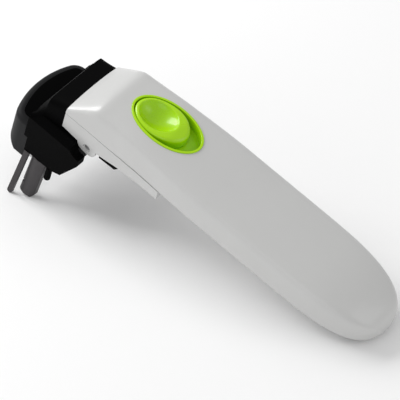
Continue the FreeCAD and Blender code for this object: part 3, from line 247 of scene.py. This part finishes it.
def finish_node(node, material):
    """Give a frame node its finish as it is."""
    made = frame["nodes"][node]
    made.data.materials.clear()
    made.data.materials.append(material)


def moulding(node, material, edge):
    """Smooth-shaded copy of a frame node with softened edges, which stands for it."""
    source = frame["nodes"][node]
    mesh = source.data.copy()
    work = bmesh.new()
    work.from_mesh(mesh)
    bmesh.ops.remove_doubles(work, verts=work.verts, dist=SEAT)
    bmesh.ops.dissolve_degenerate(work, edges=work.edges, dist=SEAT)
    for face in work.faces:
        face.smooth = True
    for rim in work.edges:
        rim.smooth = not (rim.is_manifold and rim.calc_face_angle(0.0) > CREASE)
    work.to_mesh(mesh)
    work.free()
    mesh.materials.clear()
    mesh.materials.append(material)
    piece = bpy.data.objects.new(node + "_moulding", mesh)
    bpy.context.scene.collection.objects.link(piece)
    if edge > 0:
        bevel = piece.modifiers.new("edges", "BEVEL")
        bevel.width = edge
        bevel.segments = EDGE_SEGMENTS
        bevel.limit_method = "ANGLE"
        bevel.angle_limit = CREASE
        bevel.use_clamp_overlap = True
        bevel.harden_normals = True
    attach(piece, body_of_node(node))
    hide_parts(node)
    return piece


# ---- the handle's own directions ----------------------------------------------------------------
PIVOT_ALONG = 0.0013      # the head's pivot, along the handle from its zero
PIVOT_UP = -0.0287        # and up from it


def handle_place(along, across, up):
    """Points given along, across and up the tipped handle, as places in the frame."""
    joints = {j["name"]: j for j in frame["joints"]}
    ahead = np.array(joints["thumb_slide"]["axis"])
    rise = np.array([-ahead[2], 0.0, ahead[0]])
    zero = np.array(joints["head_tilt"]["pos_m"]) - PIVOT_ALONG * ahead - PIVOT_UP * rise
    side = np.array([0.0, 1.0, 0.0])
    return zero + along[..., None] * ahead + across[..., None] * side + up[..., None] * rise


def smooth_step(t):
    """0 below 0, 1 above 1, and 3 t^2 - 2 t^3 between."""
    t = np.clip(t, 0.0, 1.0)
    return t * t * (3 - 2 * t)


def grid_mesh(name, points):
    """Closed mesh from rings of points: rows by turns, with a fan over each end ring."""
    rows, turns = points.shape[:2]
    at = np.arange(rows * turns).reshape(rows, turns)
    after = np.roll(at, -1, axis=1)
    quads = np.stack([at[:-1], after[:-1], after[1:], at[1:]], axis=-1).reshape(-1, 4)
    ends = [points[0].mean(axis=0), points[-1].mean(axis=0)]
    first, last = rows * turns, rows * turns + 1
    top = np.stack([np.full(turns, first), after[0], at[0]], axis=-1)
    foot = np.stack([np.full(turns, last), at[-1], after[-1]], axis=-1)
    mesh = bpy.data.meshes.new(name)
    mesh.from_pydata(np.vstack([points.reshape(-1, 3), ends]).tolist(), [],
                     quads.tolist() + top.tolist() + foot.tolist())
    work = bmesh.new()
    work.from_mesh(mesh)
    bmesh.ops.recalc_face_normals(work, faces=work.faces)
    for face in work.faces:
        face.smooth = True
    work.to_mesh(mesh)
    work.free()
    return mesh


SLIDER_MIDDLE = 0.02635   # along the handle
SLIDER_HALF_LENGTH = 0.01525
SLIDER_HALF_WIDTH = 0.0106
SLIDER_FOOT = -0.0008     # heights are over the handle's zero
SLIDER_RIM = 0.0046
WALL_RING = 0.001         # a ring of the wall stands this far over the foot
LIP_START = 0.86          # share of the outline where the rounded lip begins
LIP_DROP = 0.0016
HEEL_RISE = 0.0011
HEEL_START = -0.5         # shares of the half length, from the slider's middle
HEEL_RUN = 1.2
HEEL_FALL = 0.6           # share of its rise that the heel loses at the tail end
HEEL_FALL_START = 0.55
SCOOP_DEPTH = 0.0050
SCOOP_MIDDLE = -0.16
SCOOP_HALF_LENGTH = 0.70
SCOOP_HALF_WIDTH = 0.76
SCOOP_POWER = 0.7
SCOOP_EASE = 0.3          # share of its depth that the scoop loses towards the tail
SCOOP_EASE_START = -0.2
STEM_HALF_LENGTH = 0.004
STEM_HALF_WIDTH = 0.0025
STEM_FOOT = -0.0047


def slider_points(rings=40, turns=96):
    """Slider as rings about its middle.

    A ring at share r of the outline lies at (r a cos t, r b sin t).  Its height is the rim's height,
    plus a heel that rises towards the tail by a smooth step and falls a little by another at the end,
    less an oval scoop, less a quarter-round lip at the outline.  The scoop's depth is
    d (1 - s^2)^0.7, where s is the distance from its middle as a share of its half axes, and a smooth
    step makes it shallower towards the tail.  The last rings go down the wall, in, and down the stem.
    """
    turn = np.linspace(0, 2 * np.pi, turns, endpoint=False)[None, :]
    share = np.sin(np.linspace(0.03, 1.0, rings) * np.pi / 2)[:, None]
    p, q = share * np.cos(turn), share * np.sin(turn)
    scoop = ((p - SCOOP_MIDDLE) / SCOOP_HALF_LENGTH) ** 2 + (q / SCOOP_HALF_WIDTH) ** 2
    ease = 1 - SCOOP_EASE * smooth_step(p - SCOOP_EASE_START)
    bowl = SCOOP_DEPTH * np.clip(1 - scoop, 0, 1) ** SCOOP_POWER * ease
    rounding = np.clip((share - LIP_START) / (1 - LIP_START), 0, 1)
    lip = LIP_DROP * (1 - np.sqrt(1 - rounding ** 2))
    fall = 1 - HEEL_FALL * smooth_step((p - HEEL_FALL_START) / (1 - HEEL_FALL_START))
    heel = HEEL_RISE * smooth_step((p - HEEL_START) / HEEL_RUN) * fall
    up = SLIDER_RIM + heel - bowl - lip
    along = SLIDER_MIDDLE + SLIDER_HALF_LENGTH * p
    across = SLIDER_HALF_WIDTH * q
    rows = [(along, across, up)]
    for half_a, half_b, level in ((SLIDER_HALF_LENGTH, SLIDER_HALF_WIDTH, SLIDER_FOOT + WALL_RING),
                                  (SLIDER_HALF_LENGTH, SLIDER_HALF_WIDTH, SLIDER_FOOT),
                                  (STEM_HALF_LENGTH, STEM_HALF_WIDTH, SLIDER_FOOT),
                                  (STEM_HALF_LENGTH, STEM_HALF_WIDTH, STEM_FOOT)):
        rows.append((SLIDER_MIDDLE + half_a * np.cos(turn), half_b * np.sin(turn),
                     np.full((1, turns), level)))
    return handle_place(*(np.vstack(kind) for kind in zip(*rows)))


def add_piece(name, mesh, material, body):
    """New piece with its finish, on its body."""
    mesh.materials.append(material)
    piece = bpy.data.objects.new(name, mesh)
    bpy.context.scene.collection.objects.link(piece)
    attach(piece, body)
    return piece


class CANOPENER_OT_handle(bpy.types.Operator):
    """White shells, door and the neck with its ears"""
    bl_idname = "canopener.handle"
    bl_label = "Handle"

    def execute(self, context):
        looks = context.scene.canopener_handle
        white = moulded("gloss_white_moulding", looks.shell, 0.30, 0.5, 0.25)
        for node in ("upper_shell", "lower_shell", "battery_door"):
            moulding(node, white, 0.0)
        return {"FINISHED"}


class CANOPENER_OT_slider(bpy.types.Operator):
    """Green well and thumb slider, and what the slider moves"""
    bl_idname = "canopener.slider"
    bl_label = "Thumb slider"

    def execute(self, context):
        looks = context.scene.canopener_handle
        moulding("slider_bezel", moulded("green_well", looks.well, 0.26, 0.4, 0.2, 0.3), looks.edge)
        slider = add_piece("scooped_slider", grid_mesh("scooped_slider", slider_points()),
                           moulded("green_slider", looks.slider, 0.24, 0.3, 0.25, 0.35), "slider")
        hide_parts("thumb_slider")
        black = moulded("black_works", WORKS_BLACK, 0.5, 0.8)
        for node in ("slider_carrier", "slide_switch", "switch_knob"):
            finish_node(node, black)
        return {"FINISHED"}


class CANOPENER_OT_cells(bpy.types.Operator):
    """Cells, tray and contacts"""
    bl_idname = "canopener.cells"
    bl_label = "Cells"

    def execute(self, context):
        finish_node("battery_cells", moulded("plain_blue_sleeve", (0.05, 0.12, 0.4), 0.35, 0.3, 0.2))
        finish_node("battery_cradle", moulded("black_tray", WORKS_BLACK, 0.5, 0.9))
        nickel = brushed("nickel_contacts", (0.75, 0.72, 0.66), 0.2, (1.0, 8.0, 1.0))
        for node in ("front_contacts", "rear_contact"):
            finish_node(node, nickel)
        return {"FINISHED"}


class CANOPENER_OT_head(bpy.types.Operator):
    """Black head, dark grey cap, latch and peg"""
    bl_idname = "canopener.head"
    bl_label = "Cutting head"

    def execute(self, context):
        looks = context.scene.canopener_head
        black = moulded("satin_black_moulding", looks.housing, 0.55, 1.0, shine=0.02)
        for node in ("head_housing", "base_plate", "release_latch", "rim_post"):
            moulding(node, black, looks.edge)
        moulding("nose_cap", moulded("satin_grey_cap", looks.cap, 0.44, 0.8, shine=0.08), looks.edge)
        return {"FINISHED"}


class CANOPENER_OT_guides(bpy.types.Operator):
    """Dark plated guides and bracket"""
    bl_idname = "canopener.guides"
    bl_label = "Can guides"

    def execute(self, context):
        plated = brushed("dark_plated_steel", context.scene.canopener_head.guide, 0.30, (6.0, 6.0, 0.6), 0.9)
        for node in ("guide_plate", "guide_finger", "cutter_bracket"):
            moulding(node, plated, METAL_EDGE)
        return {"FINISHED"}


class CANOPENER_OT_drive(bpy.types.Operator):
    """Motor, gears, shafts, wheels and screws"""
    bl_idname = "canopener.drive"
    bl_label = "Drive"

    def execute(self, context):
        steel = brushed("turned_steel", (0.56, 0.56, 0.57), 0.22, (1.0, 1.0, 9.0))
        brass = brushed("machined_brass", (0.70, 0.50, 0.20), 0.28, (1.0, 1.0, 9.0))
        nylon = moulded("milky_nylon", (0.78, 0.75, 0.66), 0.42, 0.6)
        for node in ("motor_pinion", "drive_bush"):
            finish_node(node, brass)
        for node in ("gear_cluster_1", "gear_cluster_2"):
            finish_node(node, nylon)
        for node in ("motor", "motor_plate", "motor_shaft", "gear_cluster_3", "drive_gear", "drive_shaft",
                     "drive_wheel", "gear_pins", "cutter_axle", "cutter_wheel", "pivot_pins",
                     "cradle_screws", "shell_screws", "head_screws", "guide_screws"):
            finish_node(node, steel)
        return {"FINISHED"}


# ---- studio -------------------------------------------------------------------------------------
AIM = (-0.0008, -0.0021, -0.0045)   # from the middle of the box to what the camera looks at
FRAMING = (0.0022, -0.0009, 0.0)    # then moved along the camera's own right and up
FLOOR_HALF = 3.0
SKY = 0.55                          # even light from all round
BOXES = {                           # place, size and power of each soft box
    "key_box": ((-1.0, -0.05, 0.8), 0.7, 12.0),
    "tail_box": ((0.9, 0.3, 0.6), 0.6, 1.4),
    "near_box": ((0.2, -1.0, 0.4), 0.7, 1.2),
}


def soft_box(name, place, target, size, power):
    """Square area light that looks at the target."""
    data = bpy.data.lights.new(name, "AREA")
    data.shape = "SQUARE"
    data.size = size
    data.energy = power
    lamp = bpy.data.objects.new(name, data)
    bpy.context.scene.collection.objects.link(lamp)
    lamp.location = place
    lamp.rotation_mode = "QUATERNION"
    lamp.rotation_quaternion = (Vector(target) - Vector(place)).to_track_quat("-Z", "Y")


class CANOPENER_OT_stage(bpy.types.Operator):
    """Pale floor, soft light and camera"""
    bl_idname = "canopener.stage"
    bl_label = "Studio"

    def execute(self, context):
        looks = context.scene.canopener_studio
        mesh = bpy.data.meshes.new("floor")
        corners = [(x * FLOOR_HALF, y * FLOOR_HALF, 0) for x, y in ((-1, -1), (1, -1), (1, 1), (-1, 1))]
        mesh.from_pydata(corners, [], [(0, 1, 2, 3)])
        floor = bpy.data.objects.new("floor", mesh)
        context.scene.collection.objects.link(floor)
        mesh.materials.append(Paint("pale_floor").set(Base_Color=(*looks.floor, 1.0), Roughness=0.9))
        middle = (Vector(CAD_BOX[0]) + Vector(CAD_BOX[1])) / 2
        for name, (place, size, power) in BOXES.items():
            soft_box(name, place, middle, size, power * looks.light)
        world = bpy.data.worlds.new("studio")
        world.use_nodes = True
        sky = world.node_tree.nodes["Background"].inputs
        sky["Color"].default_value = (1.0, 1.0, 1.0, 1.0)
        sky["Strength"].default_value = SKY
        context.scene.world = world
        context.scene.view_settings.view_transform = "Standard"
        self.add_camera(context, looks)
        return {"FINISHED"}

    def add_camera(self, context, looks):
        """Camera from its angles: it looks down at the near side of the tool, a little rolled."""
        data = bpy.data.cameras.new("camera")
        data.lens = looks.lens
        camera = bpy.data.objects.new("camera", data)
        context.scene.collection.objects.link(camera)
        ahead = Vector((math.sin(looks.azimuth) * math.cos(looks.elevation),
                        -math.cos(looks.azimuth) * math.cos(looks.elevation), math.sin(looks.elevation)))
        low, high = Vector(CAD_BOX[0]), Vector(CAD_BOX[1])
        target = (low + high) / 2 + Vector(AIM)
        distance = looks.span / 2 / (data.sensor_width / 2 / data.lens)
        camera.location = target + ahead * distance
        camera.rotation_mode = "QUATERNION"
        turn = ahead.to_track_quat("Z", "Y") @ Matrix.Rotation(looks.roll, 3, "Z").to_quaternion()
        camera.rotation_quaternion = turn
        camera.location += turn @ Vector(FRAMING)
        data.clip_end = 10 * distance
        context.scene.camera = camera


GROUPS = {"canopener_handle": CANOPENER_PG_handle, "canopener_head": CANOPENER_PG_head,
          "canopener_studio": CANOPENER_PG_studio}
STEPS = (CANOPENER_OT_handle, CANOPENER_OT_slider, CANOPENER_OT_cells, CANOPENER_OT_head,
         CANOPENER_OT_guides, CANOPENER_OT_drive, CANOPENER_OT_stage)


class CANOPENER_PT_panel(bpy.types.Panel):
    """Sidebar list of the settings and steps"""
    bl_label = "Can Opener"
    bl_space_type = "VIEW_3D"
    bl_region_type = "UI"
    bl_category = "Can Opener"

    def draw(self, context):
        for name, group in GROUPS.items():
            for key in group.__annotations__:
                self.layout.prop(getattr(context.scene, name), key)
        for step in STEPS:
            self.layout.operator(step.bl_idname)


def register():
    """Add the settings, the steps and the panel."""
    for made in (*GROUPS.values(), *STEPS, CANOPENER_PT_panel):
        bpy.utils.register_class(made)
    for name, group in GROUPS.items():
        setattr(bpy.types.Scene, name, bpy.props.PointerProperty(type=group))


def unregister():
    """Take them away again."""
    for name in GROUPS:
        delattr(bpy.types.Scene, name)
    for made in (CANOPENER_PT_panel, *reversed(STEPS), *GROUPS.values()):
        bpy.utils.unregister_class(made)


def main():
    """Run every step in order."""
    register()
    for step in STEPS:
        family, action = step.bl_idname.split(".")
        getattr(getattr(bpy.ops, family), action)()


if __name__ == "__main__":
    main()
